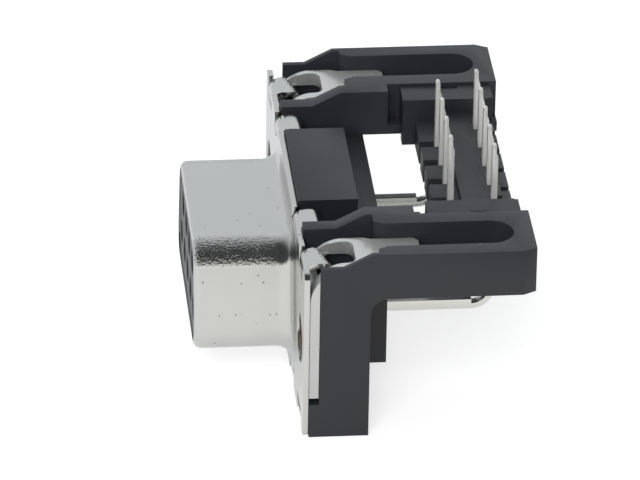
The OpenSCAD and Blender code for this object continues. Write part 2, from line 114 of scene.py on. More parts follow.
def display(red: int, green: int, blue: int) -> Colour4:
    """Turns a display colour of 0 to 255 a channel into scene-linear colour with a full alpha."""
    return (linear(red / 255), linear(green / 255), linear(blue / 255), 1.0)


def scaled(colour: Sequence[float], factor: float) -> Colour4:
    """Multiplies a linear colour by a factor, held to 1 a channel, with a full alpha."""
    return tuple(min(1, c * factor) for c in colour[:3]) + (1.0,)


def spots(
    sheet: NodeSheet, place: bpy.types.Node, cells: float, radius: float, share: float
) -> bpy.types.NodeSocket:
    """A mask of small sparse spots, one at most in each cell.

    Args:
        sheet: the material's node tree.
        place: the texture coordinate node.
        cells: cells in a metre.
        radius: radius of a spot as a part of its cell.
        share: part of the cells that have a spot.

    Returns:
        1 in a spot and 0 outside.
    """
    pattern = sheet.add("ShaderNodeTexVoronoi", Scale=cells)
    near = sheet.add("ShaderNodeMath", operation="LESS_THAN")
    near.inputs[1].default_value = radius
    chosen = sheet.add("ShaderNodeMath", operation="LESS_THAN")
    chosen.inputs[1].default_value = share
    pick = sheet.add("ShaderNodeSeparateColor")
    both = sheet.add("ShaderNodeMath", operation="MULTIPLY")
    sheet.link(place.outputs["Object"], pattern.inputs["Vector"])
    sheet.link(pattern.outputs["Distance"], near.inputs[0])
    sheet.link(pattern.outputs["Color"], pick.inputs[0])
    sheet.link(pick.outputs[0], chosen.inputs[0])
    sheet.link(near.outputs[0], both.inputs[0])
    sheet.link(chosen.outputs[0], both.inputs[1])
    return both.outputs[0]


# ---------------------------------------------------------------- finishes


@dataclass(frozen=True)
class MouldedPlastic:
    """Glass-filled moulded plastic with a fine eroded grain and a little dust."""

    name: str
    colour: Colour4
    roughness: float = 0.5
    smoother: float = 0.06
    rougher: float = 0.08
    grain_mm: float = 0.12
    grain_depth_mm: float = 0.006
    flow: float = 0.12
    flow_scale: float = 450.0
    dust: float = 0.035
    dust_cells: float = 1200.0
    dust_radius: float = 0.075
    dust_colour: Colour4 = (0.42, 0.42, 0.42, 1.0)

    def build(self) -> bpy.types.Material:
        """Builds the material.

        Returns:
            The finished material.
        """
        material = bpy.data.materials.new(self.name)
        material.use_nodes = True
        sheet = NodeSheet(material.node_tree)
        place = sheet.add("ShaderNodeTexCoord")
        grain = sheet.add("ShaderNodeTexNoise", Scale=1 / (self.grain_mm * MM), Detail=3.0, Roughness=0.6)
        flow = sheet.add("ShaderNodeTexNoise", Scale=self.flow_scale, Detail=2.0, Distortion=0.6)
        tone = sheet.add("ShaderNodeMix", data_type="RGBA")
        tone.inputs[6].default_value = scaled(self.colour, 1 - self.flow)
        tone.inputs[7].default_value = scaled(self.colour, 1 + self.flow)
        dusty = sheet.add("ShaderNodeMix", data_type="RGBA")
        dusty.inputs[7].default_value = self.dust_colour
        rough = sheet.add("ShaderNodeMapRange")
        rough.inputs["To Min"].default_value = self.roughness - self.smoother
        rough.inputs["To Max"].default_value = self.roughness + self.rougher
        bump = sheet.add("ShaderNodeBump", Strength=0.35, Distance=self.grain_depth_mm * MM)
        shader = sheet.add("ShaderNodeBsdfPrincipled")
        shader.inputs["IOR"].default_value = 1.5
        out = sheet.add("ShaderNodeOutputMaterial")
        for texture in (grain, flow):
            sheet.link(place.outputs["Object"], texture.inputs["Vector"])
        sheet.link(flow.outputs["Fac"], tone.inputs[0])
        speck = spots(sheet, place, self.dust_cells, self.dust_radius, self.dust)
        sheet.link(speck, dusty.inputs[0])
        sheet.link(tone.outputs[2], dusty.inputs[6])
        sheet.link(dusty.outputs[2], shader.inputs["Base Color"])
        sheet.link(flow.outputs["Fac"], rough.inputs["Value"])
        sheet.link(rough.outputs["Result"], shader.inputs["Roughness"])
        sheet.link(grain.outputs["Fac"], bump.inputs["Height"])
        sheet.link(bump.outputs["Normal"], shader.inputs["Normal"])
        sheet.link(shader.outputs["BSDF"], out.inputs["Surface"])
        return material


@dataclass(frozen=True)
class PlatedMetal:
    """Sheet metal under a plated layer: cloudy patches, a fine pebbly skin and small pits."""

    name: str
    colour: Colour4
    roughness: float = 0.3
    smoother: float = 0.06
    rougher: float = 0.1
    metal: float = 1.0
    cloud: float = 0.08
    cloud_scale: float = 320.0
    pebble_mm: float = 0.11
    pebble_depth_mm: float = 0.002
    pits: float = 0.0
    pit_cells: float = 2200.0
    pit_radius: float = 0.14
    pit_shade: float = 0.35
    peel: float = 0.0
    dipped_from_mm: Optional[float] = None
    dipped_metal: float = 0.35
    dipped_roughness: float = 0.25

    def build(self) -> bpy.types.Material:
        """Builds the material.

        Returns:
            The finished material.
        """
        material = bpy.data.materials.new(self.name)
        material.use_nodes = True
        sheet = NodeSheet(material.node_tree)
        place = sheet.add("ShaderNodeTexCoord")
        clouds = sheet.add("ShaderNodeTexNoise", Scale=self.cloud_scale, Detail=4.0, Roughness=0.55)
        tone = sheet.add("ShaderNodeMix", data_type="RGBA")
        tone.inputs[6].default_value = scaled(self.colour, 1 - self.cloud)
        tone.inputs[7].default_value = scaled(self.colour, 1 + self.cloud)
        pitted = sheet.add("ShaderNodeMix", data_type="RGBA")
        pitted.inputs[7].default_value = scaled(self.colour, self.pit_shade)
        rough = sheet.add("ShaderNodeMapRange")
        rough.inputs["To Min"].default_value = self.roughness - self.smoother
        rough.inputs["To Max"].default_value = self.roughness + self.rougher
        bump = sheet.add("ShaderNodeBump", Strength=1.0, Distance=self.pebble_depth_mm * MM)
        shader = sheet.add("ShaderNodeBsdfPrincipled", Metallic=self.metal)
        out = sheet.add("ShaderNodeOutputMaterial")
        sheet.link(place.outputs["Object"], clouds.inputs["Vector"])
        sheet.link(clouds.outputs["Fac"], tone.inputs[0])
        sheet.link(clouds.outputs["Fac"], rough.inputs["Value"])
        sheet.link(rough.outputs["Result"], shader.inputs["Roughness"])
        pit = spots(sheet, place, self.pit_cells, self.pit_radius, self.pits)
        sheet.link(pit, pitted.inputs[0])
        sheet.link(tone.outputs[2], pitted.inputs[6])
        sheet.link(pitted.outputs[2], shader.inputs["Base Color"])
        sheet.link(self.skin(sheet, place), bump.inputs["Height"])
        sheet.link(bump.outputs["Normal"], shader.inputs["Normal"])
        sheet.link(shader.outputs["BSDF"], out.inputs["Surface"])
        if self.dipped_from_mm is not None:
            self.dip(sheet, place, rough.outputs["Result"], shader)
        return material

    def skin(self, sheet: NodeSheet, place: bpy.types.Node) -> bpy.types.NodeSocket:
        """The height of the pebbly skin, coarser where the point attribute "stretch" is 1.

        Args:
            sheet: the material's node tree.
            place: the texture coordinate node.

        Returns:
            The height.
        """
        pebbles = sheet.add("ShaderNodeTexNoise", Scale=1 / (self.pebble_mm * MM), Detail=2.0, Roughness=0.55)
        stretch = sheet.add("ShaderNodeAttribute", attribute_name="stretch")
        peel = sheet.add("ShaderNodeMath", operation="MULTIPLY_ADD")
        peel.inputs[1].default_value = self.peel
        peel.inputs[2].default_value = 1.0
        height = sheet.add("ShaderNodeMath", operation="MULTIPLY")
        sheet.link(place.outputs["Object"], pebbles.inputs["Vector"])
        sheet.link(stretch.outputs["Fac"], peel.inputs[0])
        sheet.link(pebbles.outputs["Fac"], height.inputs[0])
        sheet.link(peel.outputs[0], height.inputs[1])
        return height.outputs[0]

    def dip(
        self, sheet: NodeSheet, place: bpy.types.Node, rough: bpy.types.NodeSocket, shader: bpy.types.Node
    ) -> None:
        """Turns the metal matt above a height, where it was dipped in solder.

        Args:
            sheet: the material's node tree.
            place: the texture coordinate node.
            rough: roughness of the bare plate.
            shader: the surface shader.
        """
        split = sheet.add("ShaderNodeSeparateXYZ")
        above = sheet.add("ShaderNodeMath", operation="GREATER_THAN")
        above.inputs[1].default_value = self.dipped_from_mm * MM
        metal = sheet.add("ShaderNodeMix", data_type="FLOAT")
        metal.inputs[2].default_value = self.metal
        metal.inputs[3].default_value = self.dipped_metal
        gloss = sheet.add("ShaderNodeMix", data_type="FLOAT")
        gloss.inputs[3].default_value = self.dipped_roughness
        sheet.link(place.outputs["Object"], split.inputs[0])
        sheet.link(split.outputs["Z"], above.inputs[0])
        sheet.link(above.outputs[0], metal.inputs[0])
        sheet.link(above.outputs[0], gloss.inputs[0])
        sheet.link(rough, gloss.inputs[2])
        sheet.link(metal.outputs[0], shader.inputs["Metallic"])
        sheet.link(gloss.outputs[0], shader.inputs["Roughness"])


@dataclass(frozen=True)
class Finishes:
    """All the finishes on the connector, built once."""

    shell: bpy.types.Material
    housing: bpy.types.Material
    insulator: bpy.types.Material
    strap: bpy.types.Material
    contact: bpy.types.Material
    brass: bpy.types.Material

    @staticmethod
    def build() -> "Finishes":
        """Builds every finish.

        Returns:
            The finishes.
        """
        nickel = PlatedMetal(
            "nickel_plate",
            display(212, 212, 210),
            roughness=0.18,
            cloud=0.04,
            pebble_mm=0.17,
            pebble_depth_mm=0.004,
            pits=0.16,
            peel=24.0,
        )
        housing = MouldedPlastic("housing_plastic", display(48, 49, 54), roughness=0.44)
        insulator = MouldedPlastic("insulator_plastic", display(38, 40, 46), roughness=0.4, dust=0.015)
        strap = PlatedMetal("strap_tin", display(210, 211, 210), roughness=0.26, metal=0.6, cloud=0.06)
        contact = PlatedMetal(
            "contact_tin", display(232, 232, 228), roughness=0.14, cloud=0.06, dipped_from_mm=5.0
        )
        brass = PlatedMetal("insert_brass", display(176, 122, 86), roughness=0.35, cloud=0.15)
        return Finishes(
            shell=nickel.build(),
            housing=housing.build(),
            insulator=insulator.build(),
            strap=strap.build(),
            contact=contact.build(),
            brass=brass.build(),
        )


# ---------------------------------------------------------------- mesh helpers


def put_mesh(name: str, verts: Sequence[Point3], faces: Sequence[Sequence[int]]) -> bpy.types.Object:
    """Makes an object from millimetre points.

    Args:
        name: the piece's name.
        verts: points in millimetres.
        faces: vertex numbers of each face.

    Returns:
        The new object, at the origin, with outward normals.
    """
    mesh = bpy.data.meshes.new(name)
    mesh.from_pydata([tuple(c * MM for c in v) for v in verts], [], [tuple(f) for f in faces])
    work = bmesh.new()
    work.from_mesh(mesh)
    bmesh.ops.remove_doubles(work, verts=work.verts, dist=SAME_POINT)
    bmesh.ops.recalc_face_normals(work, faces=work.faces)
    work.to_mesh(mesh)
    work.free()
    mesh.update()
    thing = bpy.data.objects.new(name, mesh)
    bpy.context.scene.collection.objects.link(thing)
    return thing


def smooth(thing: bpy.types.Object, degrees: float = 32.0) -> None:
    """Shades an object smooth, with edges sharper than an angle kept crisp.

    Args:
        thing: the mesh object.
        degrees: the angle.
    """
    for face in thing.data.polygons:
        face.use_smooth = True
    thing.data.set_sharp_from_angle(angle=math.radians(degrees))


def bake(thing: bpy.types.Object) -> bpy.types.Object:
    """Turns an object with its modifiers into a plain mesh object of the same name.

    Args:
        thing: a curve or mesh object, possibly with modifiers.

    Returns:
        The plain mesh object.
    """
    name = thing.name
    graph = bpy.context.evaluated_depsgraph_get()
    mesh = bpy.data.meshes.new_from_object(thing.evaluated_get(graph))
    mesh.transform(thing.matrix_world)
    bpy.data.objects.remove(thing, do_unlink=True)
    plain = bpy.data.objects.new(name, mesh)
    bpy.context.scene.collection.objects.link(plain)
    return plain


def join(name: str, things: Sequence[bpy.types.Object]) -> bpy.types.Object:
    """Joins plain mesh objects into one.

    Args:
        name: the joined piece's name.
        things: the objects, which are removed.

    Returns:
        The joined object.
    """
    work = bmesh.new()
    for thing in things:
        work.from_mesh(thing.data)
    mesh = bpy.data.meshes.new(name)
    work.to_mesh(mesh)
    work.free()
    for thing in list(things):
        bpy.data.objects.remove(thing, do_unlink=True)
    whole = bpy.data.objects.new(name, mesh)
    bpy.context.scene.collection.objects.link(whole)
    return whole


def arc(centre: Point2, radius: float, start: float, end: float, steps: int) -> list[Point2]:
    """Points on an arc.

    Args:
        centre: centre of the arc.
        radius: its radius.
        start: angle of the first point in degrees.
        end: angle of the last point in degrees.
        steps: how many steps lie between them.

    Returns:
        The points, one more than the steps.
    """
    return [
        (
            centre[0] + radius * math.cos(math.radians(start + (end - start) * i / steps)),
            centre[1] + radius * math.sin(math.radians(start + (end - start) * i / steps)),
        )
        for i in range(steps + 1)
    ]


def flat_plate(name: str, loops: Sequence[Sequence[Point2]], thick: float, edge: float) -> bpy.types.Object:
    """Makes a flat plate with openings and rounded edges, in X and Z, from Y = 0 back.

    Args:
        name: the piece's name.
        loops: closed outlines as [x, z]; the first is the outside.
        thick: thickness of the plate.
        edge: radius of the rounded edges.

    Returns:
        The plate as a plain mesh object.
    """
    curve = bpy.data.curves.new(name, "CURVE")
    curve.dimensions = "2D"
    curve.fill_mode = "BOTH"
    curve.extrude = (thick / 2 - edge) * MM
    curve.bevel_depth = edge * MM
    curve.bevel_resolution = 2
    curve.offset = -edge * MM
    for loop in loops:
        spline = curve.splines.new("POLY")
        spline.points.add(len(loop) - 1)
        for point, (x, z) in zip(spline.points, loop):
            point.co = (x * MM, z * MM, 0, 1)
        spline.use_cyclic_u = True
    thing = bpy.data.objects.new(name, curve)
    bpy.context.scene.collection.objects.link(thing)
    thing.matrix_world = Matrix.Translation((0, thick / 2 * MM, 0)) @ Matrix.Rotation(math.pi / 2, 4, "X")
    bpy.context.view_layer.update()
    return bake(thing)


def circle_loop(x: float, z: float, radius: float, steps: int = 64) -> list[Point2]:
    """A closed circle of so many points about [x, z]."""
    return arc((x, z), radius, 0, 360 * (steps - 1) / steps, steps - 1)


def slab(name: str, rows: Sequence[Sequence[tuple[Point3, Point3]]], thick: float) -> bpy.types.Object:
    """Makes a closed sheet from a grid of middle points and unit normals.

    Args:
        name: the piece's name.
        rows: the grid, each entry a middle point and a normal.
        thick: sheet thickness.

    Returns:
        The sheet as an object.
    """
    verts: list[Point3] = []
    for sign in (0.5, -0.5):
        for row in rows:
            for point, normal in row:
                verts.append(tuple(point[k] + sign * thick * normal[k] for k in range(3)))
    n_rows, n_cols = len(rows), len(rows[0])
    back = n_rows * n_cols

    def at(row: int, col: int) -> int:
        """Number of the front vertex at a row and a column."""
        return row * n_cols + col

    faces: list[list[int]] = []
    for i in range(n_rows - 1):
        for j in range(n_cols - 1):
            quad = [at(i, j), at(i, j + 1), at(i + 1, j + 1), at(i + 1, j)]
            faces.append(quad)
            faces.append([back + v for v in reversed(quad)])
    rim = (
        [at(0, j) for j in range(n_cols)]
        + [at(i, n_cols - 1) for i in range(1, n_rows)]
        + [at(n_rows - 1, j) for j in range(n_cols - 2, -1, -1)]
        + [at(i, 0) for i in range(n_rows - 2, 0, -1)]
    )
    for a, b in zip(rim, rim[1:] + rim[:1]):
        faces.append([a, back + a, back + b, b])
    return put_mesh(name, verts, faces)


def rounded(
    thing: bpy.types.Object, width: float, segments: int = 2, degrees: float = 40.0, harden: bool = False
) -> bpy.types.Object:
    """Gives a plain mesh object rounded edges and bakes them in.

    Args:
        thing: the object, which is removed.
        width: width of the rounding in millimetres.
        segments: facets across the rounding.
        degrees: edges sharper than this are rounded.
        harden: whether the flats beside an edge keep their own shading.

    Returns:
        The object with rounded edges.
    """
    bevel = thing.modifiers.new("edges", "BEVEL")
    bevel.width = width * MM
    bevel.segments = segments
    bevel.limit_method = "ANGLE"
    bevel.angle_limit = math.radians(degrees)
    bevel.use_clamp_overlap = True
    bevel.harden_normals = harden
    bpy.context.view_layer.update()
    return bake(thing)


def mount_piece(thing: bpy.types.Object, finish: bpy.types.Material, slot: str, *nodes: str) -> None:
    """Gives a finished piece its material and its body.

    Args:
        thing: the finished piece.
        finish: its material.
        slot: the record's material slot; not used.
        nodes: CAD nodes that the piece stands for.
    """
    thing.data.materials.clear()
    thing.data.materials.append(finish)
    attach(thing, BODY)
    if nodes:
        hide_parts(*nodes)
    LOG.info("%s: %d faces", thing.name, len(thing.data.polygons))


# ---------------------------------------------------------------- the drawn shell


@dataclass
class DOutline:
    """The D of the shell, wide side down, and lines parallel to it."""

    width: float = 16.6
    height: float = 8.1
    lean: float = 10.0
    corner: float = 1.9
    steps: int = 14

    def corners(self) -> list[tuple[Point2, float, float]]:
        """The four corner arcs, against the clock from the lower right.

        Returns:
            Centre, start angle and end angle of each.
        """
        half = self.width / 2
        top = half - self.height * math.tan(math.radians(self.lean))
        low_in = self.corner / math.tan(math.radians((90 - self.lean) / 2))
        top_in = self.corner / math.tan(math.radians((90 + self.lean) / 2))
        z = self.height / 2 - self.corner
        return [
            ((half - low_in, -z), -90, self.lean),
            ((top - top_in, z), self.lean, 90),
            ((top_in - top, z), 90, 180 - self.lean),
            ((low_in - half, -z), 180 - self.lean, 270),
        ]

    def loop(self, inset: float) -> list[Point2]:
        """The outline moved inwards.

        Args:
            inset: how far, in millimetres.

        Returns:
            A closed loop of [x, z].
        """
        points: list[Point2] = []
        for centre, start, end in self.corners():
            points += arc(centre, self.corner - inset, start, end, self.steps)
        return points


@dataclass
class CrimpTab:
    """One tab of the flange, bent back over what lies behind it."""

    middle: float
    width: float = 2.35
    bend: float = 0.9
    reach: float = 1.8
    skew: float = 0.0
    curl: float = 0.5
    curl_angle: float = 85.0
    flap: float = 0.0
    ragged: float = 0.0
    crumple: float = 0.0
    sheet: float = 0.4
    flat: float = 6.25
    root_run: float = 0.5
    least_flap: float = 0.03
    edge_radius: float = 0.05
    sway: float = 0.6
    bend_steps: int = 8
    flat_steps: int = 4
    curl_steps: int = 8
    columns: int = 12
    wobbles: int = 40
    ragged_from: int = 10
    crumple_from: int = 16

    def path(self, reach: float, flap: float) -> list[tuple[Point2, Point2]]:
        """Middle line of the tab from root to end, as [y, z] points with normals.

        Args:
            reach: how far back this strip of the tab goes.
            flap: length of the straight end beyond the curl.

        Returns:
            Points and unit normals, both as (y, z).
        """
        half = self.sheet / 2
        line: list[tuple[Point2, Point2]] = [((half, self.flat - self.bend - self.root_run), (-1.0, 0.0))]
        for i in range(self.bend_steps + 1):
            a = math.radians(180 - 90 * i / self.bend_steps)
            n = (math.cos(a), math.sin(a))
            r = self.bend - half
            line.append(((self.bend + r * n[0], self.flat - self.bend + r * n[1]), n))
        start, end = self.bend, reach - self.curl
        for i in range(1, self.flat_steps + 1):
            line.append(((start + (end - start) * i / self.flat_steps, self.flat - half), (0.0, 1.0)))
        for i in range(1, self.curl_steps + 1):
            a = math.radians(90 - self.curl_angle * i / self.curl_steps)
            n = (math.cos(a), math.sin(a))
            r = self.curl - half
            line.append(((end + r * n[0], self.flat - self.curl + r * n[1]), n))
        (y, z), n = line[-1]
        line.append(((y + flap * n[1], z - flap * n[0]), n))
        return line

    def build(self, name: str, edge: Edge, dice: random.Random) -> bpy.types.Object:
        """Builds the tab.

        Args:
            name: the piece's name.
            edge: the long edge of the flange it stands on.
            dice: source of the small irregularities of a sheared edge.

        Returns:
            The tab as a plain mesh object.
        """
        grid = []
        wobble = [dice.uniform(-1, 1) for _ in range(self.wobbles)]
        for c in range(self.columns + 1):
            part = c / self.columns - 0.5
            column = []
            flap = self.least_flap + self.flap * (0.5 + part)
            for k, ((y, z), (ny, nz)) in enumerate(self.path(self.reach + self.skew * part, flap)):
                x = self.middle + part * self.width
                if self.ragged and c in (0, self.columns) and k >= self.ragged_from:
                    x += self.ragged * wobble[k] * (1 if c else -1)
                if self.crumple and k >= self.crumple_from:
                    y += self.crumple * dice.uniform(-self.sway, self.sway)
                    z += self.crumple * dice.uniform(-1, 1)
                column.append(((x, y, edge.value * z), (0.0, ny, edge.value * nz)))
            grid.append(column)
        return rounded(slab(name, grid, self.sheet), self.edge_radius)


@dataclass
class DrawnShell:
    """Flange, drawn D wall and crimp tabs, pressed from one sheet."""

    outline: DOutline = field(default_factory=DOutline)
    width: float = 30.8
    height: float = 12.5
    sheet: float = 0.4
    corner: float = 0.5
    pitch: float = 25.0
    hole: float = 1.75
    reach: float = 6.8
    root: float = 1.1
    lip: float = 0.5
    inner_tab: float = 7.05
    outer_tab: float = 12.65
    tab_width: float = 2.35
    tab_bend: float = 0.9
    slit: float = 0.25
    slit_depth: float = 1.35
    root_run: float = 0.45
    proud: float = 0.001
    overlap: float = 0.02
    edge_radius: float = 0.05
    wall_steps: int = 6
    upper_flap: float = 0.7
    lower_flap: float = 0.2
    rough_from: float = 0.9
    rough_run: float = 0.5
    corner_band: float = 0.2
    corner_fade: float = 0.1
    seed: int = 11

    def section(self) -> list[Point2]:
        """Section of the drawn wall, with its root a hair proud of the flange.

        Returns:
            Points as [inset, y], all the way round.
        """
        root, lip, sheet, proud = self.root, self.lip, self.sheet, self.proud
        run = self.reach - root - lip
        points: list[Point2] = [(-root - self.root_run, -proud)]
        points += [(x, y - proud) for x, y in arc((-root, -root), root, 90, 0, steps=12)]
        points += [(0.0, -root - run * i / self.wall_steps) for i in range(1, self.wall_steps)]
        points += arc((lip, lip - self.reach), lip, 180, 270, steps=8)
        points += arc((lip, lip - self.reach), lip - sheet, 270, 180, steps=3)
        points += arc((-root, -root), root + sheet, 0, 90, steps=12)
        points += [(-root - self.root_run, sheet + proud)]
        return points

    def wall(self) -> bpy.types.Object:
        """Builds the drawn D wall with its root and its rolled rim.

        Returns:
            The wall as a plain mesh object.
        """
        section = self.section()
        rings = [self.outline.loop(inset) for inset, _ in section]
        count = len(rings[0])
        verts = [(x, y, z) for (_, y), ring in zip(section, rings) for x, z in ring]
        faces = []
        for k in range(len(section)):
            nxt = (k + 1) % len(section)
            for i in range(count):
                j = (i + 1) % count
                faces.append([k * count + i, k * count + j, nxt * count + j, nxt * count + i])
        return put_mesh("drawn_wall", verts, faces)

    def tab_gap(self, middle: float) -> list[Point2]:
        """The notch that one tab leaves in the upper edge.

        Args:
            middle: X of the tab's middle.

        Returns:
            Points as [x, z], from left to right.
        """
        half, top = self.tab_width / 2, self.height / 2
        root, floor = top - self.tab_bend, top - self.slit_depth
        return [
            (middle - half - self.slit, top),
            (middle - half - self.slit, floor),
            (middle - half, floor),
            (middle - half, root),
            (middle + half, root),
            (middle + half, floor),
            (middle + half + self.slit, floor),
            (middle + half + self.slit, top),
        ]

    def rim(self) -> list[Point2]:
        """Outline of the flange with the notches beside its tabs.

        Returns:
            A closed loop of [x, z].
        """
        half_w, half_h, r = self.width / 2, self.height / 2, self.corner
        upper: list[Point2] = []
        for middle in (-self.outer_tab, -self.inner_tab, self.inner_tab, self.outer_tab):
            upper += self.tab_gap(middle)
        loop: list[Point2] = []
        loop += arc((half_w - r, r - half_h), r, -90, 0, steps=6)
        loop += arc((half_w - r, half_h - r), r, 0, 90, steps=6)
        loop += list(reversed(upper))
        loop += arc((r - half_w, half_h - r), r, 90, 180, steps=6)
        loop += arc((r - half_w, r - half_h), r, 180, 270, steps=6)
        loop += [(x, -z) for x, z in upper]
        return loop

    def on_corner(self, x: float, z: float) -> float:
        """How far a point of the wall lies inside an upper corner: 0 on the flats, 1 within.

        Args:
            x: the point's X.
            z: the point's Z.

        Returns:
            A value from 0 to 1.
        """
        for (cx, cz), start, end in self.outline.corners():
            if cz < 0:
                continue
            part = ((math.degrees(math.atan2(z - cz, x - cx)) - start) % 360) / (end - start)
            if part <= 1 and math.hypot(x - cx, z - cz) < self.outline.corner + self.corner_band:
                return min(1.0, min(part, 1 - part) / self.corner_fade)
        return 0.0

    def mark_stretch(self, shell: bpy.types.Object) -> None:
        """Marks the upper corners of the drawn wall, where the stretched sheet turned rough.

        Args:
            shell: the joined shell, which gets the point attribute "stretch".
        """
        values = []
        for vert in shell.data.vertices:
            x, y, z = (c / MM for c in vert.co)
            along = min(1.0, max(0.0, (-y - self.rough_from) / self.rough_run))
            values.append(along * self.on_corner(x, z) if along else 0.0)
        mark = shell.data.attributes.new("stretch", "FLOAT", "POINT")
        mark.data.foreach_set("value", values)

    def plate(self) -> bpy.types.Object:
        """Builds the flange with its opening and its two screw holes.

        Returns:
            The flange as a plain mesh object.
        """
        loops = [
            self.rim(),
            self.outline.loop(-self.root - self.overlap),
            circle_loop(-self.pitch / 2, 0, self.hole),
            circle_loop(self.pitch / 2, 0, self.hole),
        ]
        return flat_plate("flange_plate", loops, self.sheet, self.edge_radius)

    def tabs(self) -> list[bpy.types.Object]:
        """Builds the eight crimp tabs: rolled inner ones and torn, half open outer ones.

        Returns:
            The tabs as plain mesh objects.
        """
        dice = random.Random(self.seed)
        things = []
        for edge in Edge:
            for side in Side:
                inner = CrimpTab(side.value * self.inner_tab, width=self.tab_width, reach=1.8, curl=0.55)
                outer = CrimpTab(
                    side.value * self.outer_tab,
                    width=self.tab_width,
                    reach=1.62,
                    skew=0.6,
                    curl=0.42,
                    curl_angle=40.0,
                    flap=self.upper_flap if edge is Edge.UPPER else self.lower_flap,
                    ragged=0.07,
                    crumple=0.06,
                )
                tag = f"{edge.name}_{side.name}".lower()
                things.append(inner.build(f"inner_tab_{tag}", edge, dice))
                things.append(outer.build(f"outer_tab_{tag}", edge, dice))
        return things

    def build(self, finishes: Finishes) -> None:
        """Builds the whole shell and puts it in place of the plain one.

        Args:
            finishes: the materials.
        """
        shell = join("drawn_shell", [self.plate(), self.wall()] + self.tabs())
        smooth(shell)
        self.mark_stretch(shell)
        mount_piece(shell, finishes.shell, "shell_plating", "front_shell")


# ---------------------------------------------------------------- CAD pieces that keep their shape


@dataclass
class DressedBody:
    """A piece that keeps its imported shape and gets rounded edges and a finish."""

    finish: bpy.types.Material
    slot: str
    width: float
    segments: int = 3
    degrees: float = 35.0
    weld_m: float = 1e-6
    flat_within: float = 0.3

    def merged(self, node: str) -> bpy.types.Object:
        """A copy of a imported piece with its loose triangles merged.

        Args:
            node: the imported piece's name.

        Returns:
            The copy, smooth shaded.
        """
        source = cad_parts[node]
        mesh = source.data.copy()
        mesh.transform(source.matrix_world)
        work = bmesh.new()
        work.from_mesh(mesh)
        bmesh.ops.remove_doubles(work, verts=work.verts, dist=self.weld_m)
        flat = math.radians(self.flat_within)
        bmesh.ops.dissolve_limit(work, angle_limit=flat, verts=work.verts, edges=work.edges)
        bmesh.ops.recalc_face_normals(work, faces=work.faces)
        for face in work.faces:
            face.smooth = True
        work.to_mesh(mesh)
        work.free()
        thing = bpy.data.objects.new(f"{node}_body", mesh)
        bpy.context.scene.collection.objects.link(thing)
        return thing

    def build(self, *nodes: str) -> None:
        """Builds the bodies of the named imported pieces.

        Args:
            nodes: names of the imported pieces.
        """
        for node in nodes:
            body = rounded(self.merged(node), self.width, self.segments, self.degrees, harden=True)
            mount_piece(body, self.finish, self.slot, node)


